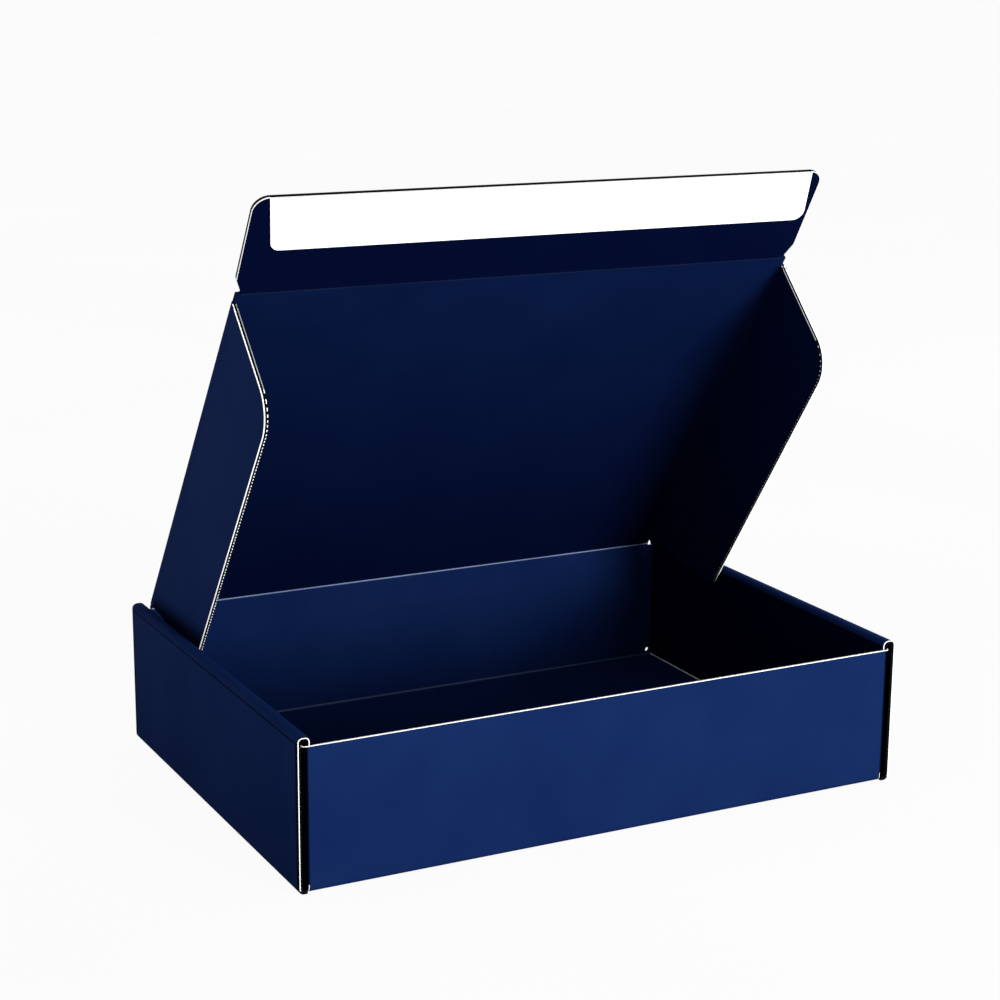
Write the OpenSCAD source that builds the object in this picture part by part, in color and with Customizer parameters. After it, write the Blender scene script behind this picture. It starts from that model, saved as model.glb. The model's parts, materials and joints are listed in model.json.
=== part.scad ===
// Folding mailer box of thin corrugated board, standing part-open:
// a tray with rolled side walls, a hinged lid with two side flaps,
// and a front flap that carries a peel-off closing strip.
// Frame: X to the right, Y to the back, Z up, origin under the middle of the tray.

/* [Tray] */
// Outside width of the tray, left to right
box_w = 250; // [180:1:340]
// Outside depth of the tray, front to back
box_d = 175; // [140:1:260]
// Height to the top of the rolled side walls
box_h = 57.5; // [40:0.5:90]
// How far the front wall's cut edge lies below the top of the side walls
front_drop = 3.8; // [3:0.1:12]

/* [Board] */
// Thickness of the corrugated board
board_t = 1.6; // [1:0.1:2.4]
// Air between folded layers
layer_gap = 0.25; // [0.1:0.05:0.6]
// Inside radius of the square folds
fold_r = 0.6; // [0.2:0.1:1.5]
// Inside radius of the two folds along each rolled side wall's top
rim_fold = 0.5; // [0.2:0.1:0.8]
// Gap beside the creases that swing
crease_gap = 0.12; // [0.05:0.01:0.3]

/* [Corner tabs] */
// Gap between the ends of the front and back walls' corner tabs
tab_end_gap = 50; // [20:1:90]
// How far a corner tab slopes down from the wall's edge to its end
tab_slope = 5; // [2:0.5:15]
// Radius at the ends of the corner tabs
tab_r = 7; // [2:0.5:12]
// How far the corner folds stay above the bottom folds
tab_lift = 1; // [0.5:0.1:5]

/* [Rolled-in side walls] */
// Gap between the foot of the rolled-in wall and the bottom
foot_gap = 0.4; // [0.2:0.1:1.5]
// Width of each locking tongue under the rolled-in wall
lock_w = 30; // [12:1:50]
// Distance between the two locking tongues of one wall
lock_pitch = 84; // [55:1:110]
// Clearance of a locking tongue in its slot
lock_clear = 0.3; // [0.15:0.05:0.8]
// Height of the locking tongues' ends above the ground
lock_lift = 0.3; // [0.1:0.1:1]
// Radius of the relief holes in the back wall's lower corners
relief_r = 1.1; // [0.6:0.1:2]
// How far the relief holes stay above the bottom
relief_lift = 1.5; // [0.5:0.1:6]

/* [Lid] */
// Angle of the open lid, counted from closed
lid_open = 54.5; // [0:0.5:120]
// Clearance between the closed lid and the front wall
lid_clear = 0.6; // [0.3:0.1:2]
// Clearance between the lid's rear corners and the rolled-in walls
lid_side_clear = 1.4; // [0.6:0.1:4]
// Narrowing of each side of the lid from its hinge to its front
lid_taper = 1.1; // [0:0.1:5]
// How far the lid's cut corners stand out past the side flaps' creases
lid_cut = 0.7; // [0.3:0.1:1.2]

/* [Lid side flaps] */
// Height of the side flaps' free edges above the bottom, lid closed
ear_foot_clear = 5.3; // [2:0.1:20]
// Clearance between the side flaps and the front wall, lid closed
ear_front_clear = 0.6; // [0.4:0.1:5]
// Start of the side flaps, counted from the lid's hinge
ear_rear_clear = 3.5; // [3:0.1:10]
// How far the front edge leans back
ear_front_run = 8.5; // [0:0.5:30]
// How far the rear edge leans forward
ear_rear_run = 24.5; // [5:0.5:40]
// Radius of the front shoulder
ear_shoulder_r = 14; // [4:0.5:18]
// Radius of the rear corner
ear_heel_r = 3; // [1:0.5:8]

/* [Front flap] */
// Bend of the front flap from the lid's plane, towards closing
flap_bend = -4; // [-20:1:60]
// Height of the front flap's free edge above the ground, lid closed
flap_foot = 12.8; // [2:0.1:20]
// Clearance between the peel-off liner and the front wall, lid closed
flap_clear = 0.5; // [0.3:0.1:2]
// How much the crease stops short of the lid's front corners
flap_inset = 1.6; // [0.2:0.1:4]
// How far the flap's sides stand out past the lid's front corners
flap_flare = 1.1; // [0:0.1:5]
// Narrowing of each side of the flap towards its free edge
flap_taper = 0.2; // [0:0.1:4]
// Length over which the flap's sides widen
flap_notch = 7; // [3:0.5:12]
// Radius of the flap's free corners
flap_r = 6; // [1:0.5:10]

/* [Closing strip] */
// Thickness of the adhesive strip
strip_t = 0.25; // [0.1:0.05:0.5]
// Height of the adhesive strip
strip_h = 18; // [8:0.5:20]
// Thickness of the peel-off liner
liner_t = 0.2; // [0.1:0.05:0.4]
// Height of the peel-off liner
liner_h = 22.9; // [10:0.1:26]
// How far the liner stops short of the flap's sides at the free edge
liner_inset = 5.5; // [3:0.5:20]
// How far the slanting ends of the liner shift to the right over its height
liner_skew = 4.5; // [0:0.5:4.5]
// How far the liner reaches past the ends of the adhesive strip
liner_over = 6; // [4.5:0.5:10]
// Radius of the liner's lower corners
liner_r = 4; // [1:0.5:8]

/* [Hidden] */
$fn = 48;
board_blue = "#16306b";

// Tray
fold_out = fold_r + board_t;
rim_out = rim_fold + board_t;
rim_w = 3 * board_t + 2 * layer_gap;
rim_z = box_h - rim_out;
front_h = box_h - front_drop;
inner_x = box_w / 2 - rim_w;
foot_z = board_t + foot_gap;
wall_x = box_w / 2 - board_t - layer_gap;
wall_half = wall_x - fold_out;
tab_len = (box_d - tab_end_gap) / 2;
// Part of each bottom fold that lies in the bottom panel
flange = 3 * board_t;
// Rounds are this much larger than tangent, so that they cross the edges cleanly
ease = 0.01;

// Lid hinge, in the middle of the board's thickness
hinge_y = box_d / 2 - board_t / 2;
hinge_z = front_h + lid_clear + board_t / 2;
hinge_half = inner_x - 2 * relief_r;
crease_start = board_t / 2 + crease_gap;

// Lid, from its hinge to the crease of the front flap
lid_len = box_d + strip_t + liner_t + flap_clear;
lid_half_back = inner_x - lid_side_clear;
lid_half_front = lid_half_back - lid_taper;
lid_skew = atan(lid_taper / lid_len);
ear_x = lid_half_back - board_t;

// Side flaps, counted from the crease on the lid's inner face
ear_depth = hinge_z - board_t / 2 - board_t - ear_foot_clear;
ear_front = box_d - 1.5 * board_t - ear_front_clear;

// Front flap, counted from its crease
lid_corner = lid_half_front - board_t + lid_cut;
flap_d = hinge_z - flap_foot;
flap_fold_half = lid_corner - flap_inset;
flap_half = lid_corner + flap_flare;
flap_top = flap_half - flap_taper;
liner_half = flap_top - liner_inset;
strip_half = liner_half - liner_over;

// Unit vector from one point to another
function towards(from, to) = (to - from) / norm(to - from);

// What a round of radius r takes off the corner between two neighbours
module corner_cut(before, corner, after, r) {
    a = towards(corner, before);
    b = towards(corner, after);
    half = acos(a * b) / 2;
    inward = (a + b) / norm(a + b);
    middle = corner + inward * r / sin(half);
    reach = r / tan(half);
    difference() {
        polygon([corner - inward * r, corner + a * reach, middle, corner + b * reach]);
        translate(middle) circle(r + ease);
    }
}

// Outline with a radius for each of its corners, 0 for a sharp one
module rounded(points, radii) {
    n = len(points);
    difference() {
        polygon(points);
        for (i = [0:n - 1])
            if (radii[i] > 0)
                corner_cut(points[(i + n - 1) % n], points[i], points[(i + 1) % n], radii[i]);
    }
}

// Quarter of a square fold of a given inside radius, bulging to -X and -Y
module fold_section(inside) {
    outside = inside + board_t;
    intersection() {
        difference() {
            circle(outside);
            circle(inside);
        }
        translate([-outside, -outside]) square(outside);
    }
}

// Two folds and the flat between them, over the top of a side wall
module roll_section() {
    for (side = [0, 1]) translate([side * rim_w, 0]) mirror([side, 0])
        translate([rim_out, 0]) mirror([0, 1]) fold_section(rim_fold);
    translate([rim_out, rim_out - board_t]) square([rim_w - 2 * rim_out, board_t]);
}

// Bottom edge and upright of a wall whose outer face is at x = 0
module wall_section(top) {
    translate([fold_out, 0]) square([flange, board_t]);
    translate([fold_out, fold_out]) fold_section(fold_r);
    translate([0, fold_out]) square([board_t, top - fold_out]);
}

// Left wall from the bottom fold over the roll and down to the foot
module rolled_section() {
    wall_section(rim_z);
    translate([0, rim_z]) roll_section();
    translate([rim_w - board_t, foot_z]) square([board_t, rim_z - foot_z]);
}

module bottom_panel() {
    inset = 2 * fold_out;
    translate([-box_w / 2 + fold_out, -box_d / 2 + fold_out, 0])
        cube([box_w - inset, box_d - inset, board_t]);
}

// One locking tongue that reaches down from the rolled-in wall's foot
module lock_tongue(wide, top, low) {
    lean = board_t / 2;
    translate([-board_t, 0, 0]) rotate([90, 0, 90]) linear_extrude(board_t)
        polygon([[-wide / 2, top], [-wide / 2 + lean, low], [wide / 2 - lean, low], [wide / 2, top]]);
}

// Left side wall; its ends clear the front and back walls
module side_wall() {
    difference() {
        translate([-box_w / 2, 0, 0]) rotate([90, 0, 0])
            linear_extrude(box_d, center = true) rolled_section();
        for (end = [-1, 1])
            translate([-inner_x - board_t - layer_gap, end * box_d / 2 - fold_out, -board_t])
                cube([2 * fold_out + flange, 2 * fold_out, front_h + layer_gap + board_t]);
    }
}

// Slot in the bottom for one tongue, open to the foot of the rolled-in wall
module lock_slot() {
    wide = lock_w + 2 * lock_clear;
    translate([-inner_x - board_t - lock_clear, -wide / 2, -board_t])
        cube([board_t + 2 * lock_clear, wide, 2 * board_t + foot_gap / 2]);
}

// Tab that turns back from the end of the front wall, between the side wall's layers
module corner_tab() {
    start = fold_out;
    low = fold_out + tab_lift;
    rise = front_h - low;
    translate([-wall_x, -box_d / 2, 0]) rotate([90, 0, 90]) linear_extrude(board_t)
        rounded([[start, low], [tab_len, low + tab_slope], [tab_len, low + rise - tab_slope],
                 [start + tab_slope, front_h], [start, front_h]],
                [0, tab_r, tab_r, 0, 0]);
}

// Front wall with its bottom fold, corner folds and corner tabs
module end_wall() {
    translate([0, -box_d / 2, 0]) rotate([90, 0, 90])
        linear_extrude(2 * wall_half, center = true) wall_section(front_h);
    for (side = [0, 1]) mirror([side, 0, 0]) {
        translate([-wall_half, -box_d / 2 + fold_out, fold_out + tab_lift])
            linear_extrude(front_h - fold_out - tab_lift) fold_section(fold_r);
        corner_tab();
    }
}

// Upper strip of the back wall, with the bead that the lid swings on
module hinge_strip() {
    translate([-hinge_half, box_d / 2 - board_t, front_h - board_t])
        cube([2 * hinge_half, board_t, hinge_z - front_h + board_t]);
    translate([0, hinge_y, hinge_z]) rotate([0, 90, 0])
        cylinder(d = board_t, h = 2 * hinge_half, center = true);
}

// Relief holes through the back wall, in its bottom corners
module relief_holes() {
    for (side = [-1, 1])
        translate([side * (inner_x - relief_r), box_d / 2, board_t + relief_lift + relief_r]) rotate([90, 0, 0])
            cylinder(r = relief_r, h = 2 * fold_out, center = true);
}

module tray() color(board_blue) {
    difference() {
        union() {
            bottom_panel();
            end_wall();
            mirror([0, 1, 0]) end_wall();
            for (side = [0, 1]) mirror([side, 0, 0]) side_wall();
            hinge_strip();
        }
        relief_holes();
        for (side = [0, 1], place = [-1, 1]) mirror([side, 0, 0])
            translate([0, place * lock_pitch / 2, 0]) lock_slot();
    }
    for (side = [0, 1], place = [-1, 1]) mirror([side, 0, 0])
        translate([-inner_x, place * lock_pitch / 2, 0])
            lock_tongue(lock_w, foot_z + board_t, lock_lift);
}

// Lid frame: the lid runs to -Y from its hinge, its inner face is down
module on_lid() {
    translate([0, hinge_y, hinge_z]) rotate([-lid_open, 0, 0]) children();
}

// Right side flap's crease: along Y, on the lid's inner face
module on_ear_crease() {
    translate([ear_x, 0, -board_t / 2]) rotate([0, 0, -lid_skew]) children();
}

// Front flap's frame: it runs to -Y from its crease
module on_flap() {
    on_lid() translate([0, -lid_len, 0]) rotate([flap_bend, 0, 0]) children();
}

// What the rounded outer edge over a side flap's crease takes off the lid
module lid_edge_cut() {
    on_ear_crease() translate([0, board_t, 0]) rotate([90, 0, 0])
        linear_extrude(lid_len + 2 * board_t) difference() {
            translate([0, -board_t / 2]) square([2 * board_t, 2.5 * board_t]);
            circle(board_t + ease);
        }
}

// What is cut off a lid corner beyond an end of the side flap
module lid_corner_cut(from, to) {
    on_ear_crease() translate([lid_cut, -to, -board_t]) cube([2 * board_t, to - from, 3 * board_t]);
}

module lid() color(board_blue) on_lid() {
    front_x = lid_half_front + board_t / 2;
    back_x = front_x + tan(lid_skew) * (lid_len - crease_start);
    difference() {
        translate([0, 0, -board_t / 2]) linear_extrude(board_t)
            polygon([[-back_x, -crease_start], [back_x, -crease_start],
                     [front_x, -lid_len], [-front_x, -lid_len]]);
        for (side = [0, 1]) mirror([side, 0, 0]) {
            lid_edge_cut();
            lid_corner_cut(-board_t, ear_rear_clear);
            lid_corner_cut(ear_front, lid_len + 2 * board_t);
        }
    }
    translate([0, -lid_len, 0]) rotate([0, 90, 0])
        cylinder(d = board_t, h = 2 * flap_fold_half, center = true);
}

module right_ear() {
    on_lid() on_ear_crease() rotate([180, 0, 0]) rotate([90, 0, 90]) linear_extrude(board_t)
        rounded([[ear_rear_clear, crease_gap], [ear_front, crease_gap],
                 [ear_front - ear_front_run, ear_depth],
                 [ear_rear_clear + ear_rear_run, ear_depth]],
                [0, 0, ear_shoulder_r, ear_heel_r]);
}

module left_lid_flap() color(board_blue) mirror([1, 0, 0]) right_ear();

module right_lid_flap() color(board_blue) right_ear();

module front_flap() color(board_blue) on_flap() translate([0, 0, -board_t / 2])
    linear_extrude(board_t)
        rounded([[-flap_fold_half, -crease_start], [-flap_half, -flap_notch], [-flap_top, -flap_d],
                 [flap_top, -flap_d], [flap_half, -flap_notch], [flap_fold_half, -crease_start]],
                [0, flap_inset + flap_flare, flap_r, flap_r, flap_inset + flap_flare, 0]);

// Adhesive on the flap's inner face, in the middle of the liner's height
module adhesive_strip() color("gainsboro") on_flap()
    translate([-strip_half, -flap_d + (liner_h - strip_h) / 2, -board_t / 2 - strip_t])
        cube([2 * strip_half, strip_h, strip_t]);

// Peel-off liner with slanting ends, flush with the flap's free edge
module release_liner() color("white") on_flap()
    translate([0, -flap_d, -board_t / 2 - strip_t - liner_t]) linear_extrude(liner_t)
        rounded([[-liner_half, 0], [liner_half, 0],
                 [liner_half + liner_skew, liner_h], [-liner_half + liner_skew, liner_h]],
                [0, 0, liner_r, liner_r]);

tray();
lid();
left_lid_flap();
right_lid_flap();
front_flap();
adhesive_strip();
release_liner();
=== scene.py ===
import json
import math

import bmesh
import bpy
from mathutils import Matrix, Vector


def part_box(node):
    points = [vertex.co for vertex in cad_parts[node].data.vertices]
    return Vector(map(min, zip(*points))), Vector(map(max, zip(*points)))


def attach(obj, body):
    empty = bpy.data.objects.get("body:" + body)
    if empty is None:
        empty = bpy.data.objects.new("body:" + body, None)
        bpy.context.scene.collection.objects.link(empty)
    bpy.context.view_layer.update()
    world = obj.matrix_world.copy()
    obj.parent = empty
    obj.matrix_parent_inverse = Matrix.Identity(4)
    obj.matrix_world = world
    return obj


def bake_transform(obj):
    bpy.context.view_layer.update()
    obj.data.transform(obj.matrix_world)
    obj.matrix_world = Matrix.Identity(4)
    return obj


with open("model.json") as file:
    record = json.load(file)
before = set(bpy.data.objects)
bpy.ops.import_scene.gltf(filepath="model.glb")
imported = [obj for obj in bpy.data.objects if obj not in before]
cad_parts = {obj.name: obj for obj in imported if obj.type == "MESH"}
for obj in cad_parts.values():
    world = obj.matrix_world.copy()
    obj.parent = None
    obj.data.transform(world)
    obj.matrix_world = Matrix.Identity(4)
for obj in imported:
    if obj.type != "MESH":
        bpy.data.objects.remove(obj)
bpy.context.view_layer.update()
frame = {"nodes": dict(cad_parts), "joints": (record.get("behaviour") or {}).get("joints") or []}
mm = 0.001
nodes = frame["nodes"]
joints = {joint["name"]: joint for joint in frame["joints"]}
print("frame loaded:", ", ".join(sorted(nodes)))

# Board sizes in millimetres, as the part's source has them
board = {
    "thick": 1.6,
    "layerGap": 0.25,
    "foldInside": 0.6,
    "rimFoldInside": 0.5,
    "frontDrop": 3.8,
    "footGap": 0.4,
    "tabReach": 12.0,
    "lidCut": 0.7,
    "flapFoldHalf": 114.6,
    "reliefRadius": 1.1,
}
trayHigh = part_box("tray")[1] / mm
boxHalf = trayHigh.x
depthHalf = trayHigh.y
thick = board["thick"]
foldOut = board["foldInside"] + thick
foldMid = board["foldInside"] + thick / 2
rimOut = board["rimFoldInside"] + thick
rimWide = 3 * thick + 2 * board["layerGap"]
rimHeight = trayHigh.z - rimOut
frontTop = trayHigh.z - board["frontDrop"]
innerX = boxHalf - rimWide
footHeight = thick + board["footGap"]
wallX = boxHalf - thick - board["layerGap"]
wallHalf = wallX - foldOut
skim = 0.05  # millimetres by which a mask reaches past a face

worldX = Vector((1, 0, 0))
worldY = Vector((0, 1, 0))
worldZ = Vector((0, 0, 1))

# Directions of the open lid, its side flaps and its front flap at rest
hingePlace = Vector(joints["lid_hinge"]["pos_m"])
flapPlace = Vector(joints["front_flap_fold"]["pos_m"])
lidAlong = (flapPlace - hingePlace).normalized()
lidInward = lidAlong.cross(worldX) * -1
flapTilt = math.radians(90 - joints["front_flap_fold"]["range_deg"][1])
flapAlong = Matrix.Rotation(flapTilt, 3, worldX) @ lidAlong
flapInward = flapAlong.cross(worldX) * -1
lidLength = (flapPlace - hingePlace).length / mm


def frameOf(origin, xAxis, yAxis):
    zAxis = xAxis.cross(yAxis)
    rows = Matrix((xAxis, yAxis, zAxis)).transposed()
    return Matrix.Translation(origin) @ rows.to_4x4()


def addObject(name, data):
    thing = bpy.data.objects.new(name, data)
    bpy.context.scene.collection.objects.link(thing)
    return thing


def addNode(tree, kind, values=None, **settings):
    node = tree.nodes.new(kind)
    for name, value in settings.items():
        setattr(node, name, value)
    for key, value in (values or {}).items():
        socket = node.inputs[key]
        if isinstance(value, bpy.types.NodeSocket):
            tree.links.new(value, socket)
        else:
            socket.default_value = value
    return node


def calc(tree, operation, first, second=0.0, third=0.0):
    node = addNode(tree, "ShaderNodeMath", {0: first, 1: second, 2: third}, operation=operation)
    return node.outputs[0]


def mixed(tree, share, first, second):
    node = addNode(tree, "ShaderNodeMix", {"Factor": share, 6: first, 7: second}, data_type="RGBA")
    return node.outputs[2]


def newGroup(name, inputs, outputs):
    tree = bpy.data.node_groups.new(name, "ShaderNodeTree")
    for label, kind, value in inputs:
        socket = tree.interface.new_socket(label, in_out="INPUT", socket_type=kind)
        if value is not None:
            socket.default_value = value
    for label, kind in outputs:
        tree.interface.new_socket(label, in_out="OUTPUT", socket_type=kind)
    return tree, tree.nodes.new("NodeGroupInput").outputs, tree.nodes.new("NodeGroupOutput").inputs


floatKind = "NodeSocketFloat"
vectorKind = "NodeSocketVector"
colorKind = "NodeSocketColor"


# Paper fibres, the slow mottling of the sheet and the flutes that show through it
def makeFibreGroup():
    tree, given, result = newGroup(
        "paperFibre",
        [("Vector", vectorKind, None), ("Fibre Scale", floatKind, 900.0),
         ("Mottle Scale", floatKind, 26.0), ("Flute Pitch", floatKind, 3.3 * mm)],
        [("Fibre", floatKind), ("Mottle", floatKind), ("Flute", floatKind)])
    place = given["Vector"]
    fibre = addNode(tree, "ShaderNodeTexNoise", {
        "Vector": place, "Scale": given["Fibre Scale"], "Detail": 4.0, "Roughness": 0.62})
    mottle = addNode(tree, "ShaderNodeTexNoise", {
        "Vector": place, "Scale": given["Mottle Scale"], "Detail": 3.0, "Roughness": 0.55})
    across = addNode(tree, "ShaderNodeSeparateXYZ", {0: place}).outputs["Y"]
    turns = calc(tree, "DIVIDE", across, given["Flute Pitch"])
    wave = calc(tree, "SINE", calc(tree, "MULTIPLY", turns, 2 * math.pi))
    tree.links.new(fibre.outputs[0], result["Fibre"])
    tree.links.new(mottle.outputs[0], result["Mottle"])
    tree.links.new(calc(tree, "MULTIPLY_ADD", wave, 0.5, 0.5), result["Flute"])
    return tree


# A pressed line: 1 on the line, falling to 0 at its width
def makePressGroup():
    tree, given, result = newGroup(
        "pressedLine",
        [("Distance", floatKind, 0.0), ("Width", floatKind, 1.0 * mm)],
        [("Line", floatKind)])
    away = calc(tree, "ABSOLUTE", given["Distance"])
    fade = addNode(tree, "ShaderNodeMapRange", {
        "Value": away, "From Min": 0.0, "From Max": given["Width"],
        "To Min": 1.0, "To Max": 0.0}, interpolation_type="SMOOTHSTEP")
    tree.links.new(fade.outputs[0], result["Line"])
    return tree


ink = {
    "ink": (0.0034, 0.0116, 0.0588, 1),
    "thinInk": (0.0046, 0.0150, 0.0675, 1),
    "innerShadeInk": (0.0002, 0.0007, 0.0095, 1),
    "shadeInk": (0.0002, 0.0003, 0.0010, 1),
    "worn": (0.26, 0.33, 0.54, 1),
    "specular": 0.004,
    "fibreScale": 1500.0,
    "mottleScale": 24.0,
    "flutePitch": 3.3 * mm,
    "fibreBump": 0.10,
    "fluteBump": 0.05,
    "bumpDepth": 0.05 * mm,
    "mottleSpan": (0.3, 0.7),
    "grain": 0.5,
    "rough": 0.58,
    "fibreRough": 0.16,
    "wornRough": 0.2,
}


# Ink on the sheet: slow mottling, paper showing through at wear, painted shade as a darker copy of
# the ink on inner faces, and near-black painted shade in bands and lines
def makeInkGroup():
    tree, given, result = newGroup(
        "inkCoat",
        [("Ink", colorKind, None), ("Thin Ink", colorKind, None), ("Worn", colorKind, None),
         ("Inner Shade Ink", colorKind, None), ("Shade Ink", colorKind, None), ("Fibre", floatKind, 0.5),
         ("Mottle", floatKind, 0.5), ("Inner Shade", floatKind, 0.0), ("Line", floatKind, 0.0),
         ("Wear", floatKind, 0.0)],
        [("Color", colorKind), ("Roughness", floatKind)])
    low, high = ink["mottleSpan"]
    spread = addNode(tree, "ShaderNodeMapRange", {
        "Value": given["Mottle"], "From Min": low, "From Max": high})
    grain = calc(tree, "MULTIPLY_ADD", given["Fibre"], ink["grain"], -ink["grain"] / 2)
    share = calc(tree, "ADD", spread.outputs[0], grain)
    tone = mixed(tree, share, given["Ink"], given["Thin Ink"])
    # Painted shade: on inner faces the ink is mixed towards a darker copy of itself
    deep = mixed(tree, given["Inner Shade"], tone, given["Inner Shade Ink"])
    worn = mixed(tree, given["Wear"], deep, given["Worn"])
    # Painted shade: near-black where the Line mask is set
    dark = mixed(tree, given["Line"], worn, given["Shade Ink"])
    tree.links.new(dark, result["Color"])
    rough = calc(tree, "MULTIPLY_ADD", given["Fibre"], ink["fibreRough"], ink["rough"])
    rougher = calc(tree, "MULTIPLY_ADD", given["Wear"], ink["wornRough"], rough)
    tree.links.new(rougher, result["Roughness"])
    return tree


fibreGroup = makeFibreGroup()
pressGroup = makePressGroup()
inkGroup = makeInkGroup()


def newMaterial(name):
    material = bpy.data.materials.new(name)
    material.use_nodes = True
    tree = material.node_tree
    shader = tree.nodes["Principled BSDF"]
    coords = addNode(tree, "ShaderNodeTexCoord").outputs["Object"]
    return material, tree, shader, coords


def useGroup(tree, group, values):
    return addNode(tree, "ShaderNodeGroup", values, node_tree=group)


# Printed board; the functions give masks from local coordinates: painted shade on inner faces,
# near-black painted shade, and rubbed wear
def makeInk(name, turn=0.0, origin=(0, 0, 0), paintedInnerShade=None, paintedShade=None, wear=None):
    material, tree, shader, coords = newMaterial(name)
    moved = addNode(tree, "ShaderNodeVectorMath", {0: coords, 1: origin}, operation="SUBTRACT")
    local = addNode(tree, "ShaderNodeMapping", {"Vector": moved.outputs[0], "Rotation": (turn, 0, 0)})
    place = local.outputs[0]
    fibre = useGroup(tree, fibreGroup, {
        "Vector": place, "Fibre Scale": ink["fibreScale"],
        "Mottle Scale": ink["mottleScale"], "Flute Pitch": ink["flutePitch"]})
    values = {
        "Ink": ink["ink"], "Thin Ink": ink["thinInk"], "Worn": ink["worn"],
        "Inner Shade Ink": ink["innerShadeInk"], "Shade Ink": ink["shadeInk"],
        "Fibre": fibre.outputs["Fibre"], "Mottle": fibre.outputs["Mottle"]}
    if paintedInnerShade:
        values["Inner Shade"] = paintedInnerShade(tree, place)
    if paintedShade:
        values["Line"] = paintedShade(tree, place)
    if wear:
        values["Wear"] = wear(tree, place, fibre)
    coat = useGroup(tree, inkGroup, values)
    tree.links.new(coat.outputs["Color"], shader.inputs["Base Color"])
    tree.links.new(coat.outputs["Roughness"], shader.inputs["Roughness"])
    shader.inputs["Specular IOR Level"].default_value = ink["specular"]
    flutes = fibre.outputs["Flute"]
    height = calc(tree, "MULTIPLY_ADD", flutes, ink["fluteBump"], fibre.outputs["Fibre"])
    bump = addNode(tree, "ShaderNodeBump", {
        "Height": height, "Strength": ink["fibreBump"], "Distance": ink["bumpDepth"]})
    tree.links.new(bump.outputs[0], shader.inputs["Normal"])
    return material


def axisOf(tree, place, name):
    return addNode(tree, "ShaderNodeSeparateXYZ", {0: place}).outputs[name]


def pressed(tree, distance, width):
    return useGroup(tree, pressGroup, {"Distance": distance, "Width": width}).outputs["Line"]


def above(tree, value, limit):
    return calc(tree, "GREATER_THAN", value, limit * mm)


def below(tree, value, limit):
    return calc(tree, "LESS_THAN", value, limit * mm)


def both(tree, *masks):
    result = masks[0]
    for mask in masks[1:]:
        result = calc(tree, "MULTIPLY", result, mask)
    return result


def choose(tree, mask, yes, no):
    return calc(tree, "MULTIPLY_ADD", mask, calc(tree, "SUBTRACT", yes, no), no)


def ramp(tree, value, low, high, atLow=0.0, atHigh=1.0):
    fade = addNode(tree, "ShaderNodeMapRange", {
        "Value": value, "From Min": low * mm, "From Max": high * mm,
        "To Min": atLow, "To Max": atHigh}, interpolation_type="SMOOTHSTEP")
    return fade.outputs[0]


# Painted shade on the inner faces, from 0 to 1: how far their ink is mixed towards a darker copy of
# it
inside = {"bottom": 0.0, "endWalls": 0.3, "rolledWalls": 0.9, "lidAtHinge": 0.82, "lidAtFlap": 0.6,
          "sideFlaps": 0.72, "frontFlap": 0.9}
# Painted shade of the tray (lines at the rim creases, corner folds, roll insides, side wall ends) and
# its rubbed crease: places and widths in millimetres, dark and rub as shares
trayShadeAndRub = {"rimDrop": 0.3, "rimWidth": 0.7, "rimDark": 0.8, "rimPast": 0.5,
          "leftFold": (120.3, 121.2), "rightFold": (120.2, 121.3), "foldPast": 0.2,
          "rollBelow": 0.5, "endRun": (2.4, 0.3), "endDark": 0.85,
          "footRise": 0.7, "footWidth": 0.6, "footPast": 0.3, "footRub": 0.141,
          "patchFrom": 0.6, "patchSpread": 0.8}


def trayInside(tree, place):
    x = calc(tree, "ABSOLUTE", axisOf(tree, place, "X"))
    y = calc(tree, "ABSOLUTE", axisOf(tree, place, "Y"))
    z = axisOf(tree, place, "Z")
    room = both(tree, below(tree, x, innerX + skim), below(tree, y, depthHalf - thick + skim),
                above(tree, z, thick - skim), below(tree, z, rimHeight))
    # Painted shade on the tray's inner faces: none on the bottom, some on the end walls, most on the
    # rolled walls
    low = choose(tree, below(tree, z, thick + 2 * skim), inside["bottom"], inside["endWalls"])
    depth = choose(tree, above(tree, x, innerX - 2 * skim), inside["rolledWalls"], low)
    return calc(tree, "MULTIPLY", room, depth)


# Painted shade: dark lines along the scores beside the rolled rims, near-black inside the rolls and
# round the corner folds, darker towards the ends of the side walls' outer faces
def trayPaintedShade(tree, place):
    across = axisOf(tree, place, "X")
    x = calc(tree, "ABSOLUTE", across)
    y = calc(tree, "ABSOLUTE", axisOf(tree, place, "Y"))
    z = axisOf(tree, place, "Z")
    rise = calc(tree, "SUBTRACT", z, (rimHeight - trayShadeAndRub["rimDrop"]) * mm)
    rim = both(tree, pressed(tree, rise, trayShadeAndRub["rimWidth"] * mm),
               above(tree, x, innerX - trayShadeAndRub["rimPast"]))
    turning = choose(tree, above(tree, across, 0), ramp(tree, x, *trayShadeAndRub["rightFold"]),
                     ramp(tree, x, *trayShadeAndRub["leftFold"]))
    corner = both(tree, turning, above(tree, y, depthHalf - foldOut - trayShadeAndRub["foldPast"]),
                  below(tree, x, boxHalf - thick + 2 * skim), below(tree, z, frontTop + 2 * skim))
    endFade = [depthHalf - run for run in trayShadeAndRub["endRun"]]
    ends = both(tree, above(tree, x, boxHalf - skim), ramp(tree, y, *endFade))
    roll = both(tree, above(tree, x, innerX + thick - skim), below(tree, x, boxHalf - thick + skim),
                above(tree, z, frontTop - trayShadeAndRub["rollBelow"]),
                below(tree, z, trayHigh.z - thick + skim))
    result = calc(tree, "MAXIMUM", corner, roll)
    for mask, depth in ((rim, trayShadeAndRub["rimDark"]), (ends, trayShadeAndRub["endDark"])):
        result = calc(tree, "MAXIMUM", result, calc(tree, "MULTIPLY", mask, depth))
    return result


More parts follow.
